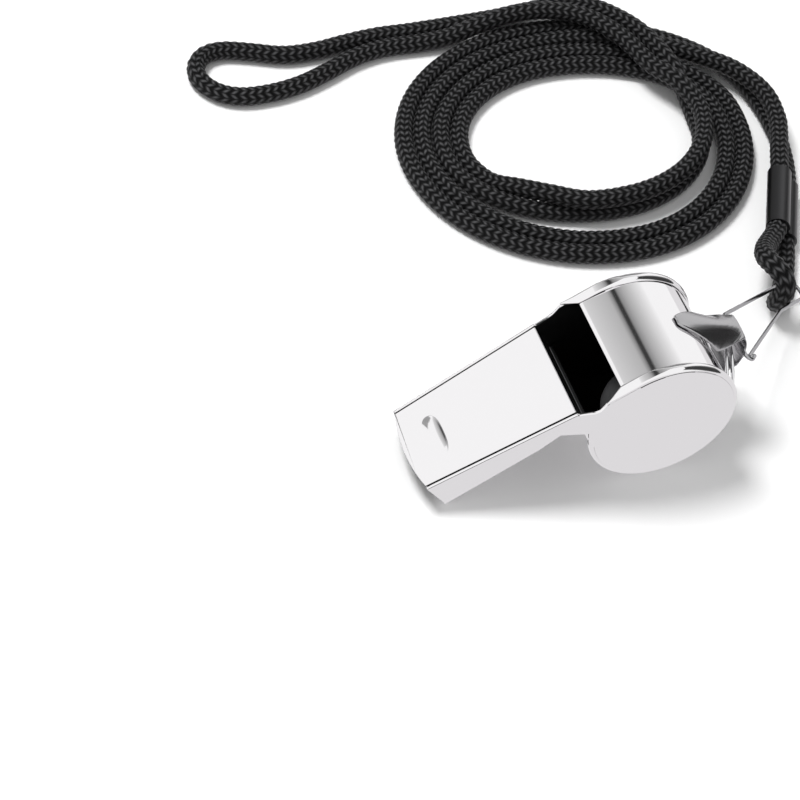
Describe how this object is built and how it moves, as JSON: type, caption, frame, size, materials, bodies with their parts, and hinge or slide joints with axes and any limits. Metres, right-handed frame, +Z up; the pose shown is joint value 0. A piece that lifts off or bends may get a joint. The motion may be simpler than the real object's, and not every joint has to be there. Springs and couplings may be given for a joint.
{
  "type": "sports whistle",
  "caption": "Metal pea whistle with flat mouthpiece, open top window, loose pea, hooded lug, split ring, long wire clip and a coiled doubled neck cord.",
  "frame": {"origin": "on the table, under the middle of the whistle from its mouthpiece tip to the back of its lug, half way across its width", "axes": "+X from the mouthpiece to the round chamber, +Z up; the whistle stands on its rim and its mouthpiece tip, and its right side faces -Y"},
  "size_m": [0.0903, 0.0992, 0.0227],
  "materials": {
    "plated_shell": "mirror-bright plating on stamped sheet",
    "pea": "matte dark grey",
    "steel_wire": "polished steel wire",
    "dark_sleeve": "satin black-nickel plating",
    "black_cord": "flat woven black cord"
  },
  "bodies": {
    "whistle": {"right_plate": "plated_shell", "left_plate": "plated_shell", "chamber_band": "plated_shell", "windway_floor": "plated_shell", "mouthpiece_top": "plated_shell", "lanyard_lug": "plated_shell", "crimp_sleeve": "dark_sleeve", "clip_cord": "black_cord", "cord_tails": "black_cord", "cord_coil_outer": "black_cord", "cord_coil_inner": "black_cord", "cord_end_loop": "black_cord"},
    "pea": {"pea": "pea"},
    "split_ring": {"split_ring": "steel_wire"},
    "wire_clip": {"wire_clip": "steel_wire"}
  },
  "joints": [
    {"name": "pea_spin", "type": "hinge", "parent": "whistle", "child": "pea", "pos_m": [0.00977, 0, 0.01135], "axis": [0, 1, 0], "continuous": true},
    {"name": "ring_swing", "type": "hinge", "parent": "whistle", "child": "split_ring", "pos_m": [0.02295, -0.0003, 0.0143], "axis": [-0.2164, -0.9763, 0], "range_deg": [-5, 30]},
    {"name": "clip_lift", "type": "hinge", "parent": "whistle", "child": "wire_clip", "pos_m": [0.02433, 0, 0.01533], "axis": [0, -1, 0], "range_deg": [0, 15], "deforming": ["clip_cord"]}
  ]
}
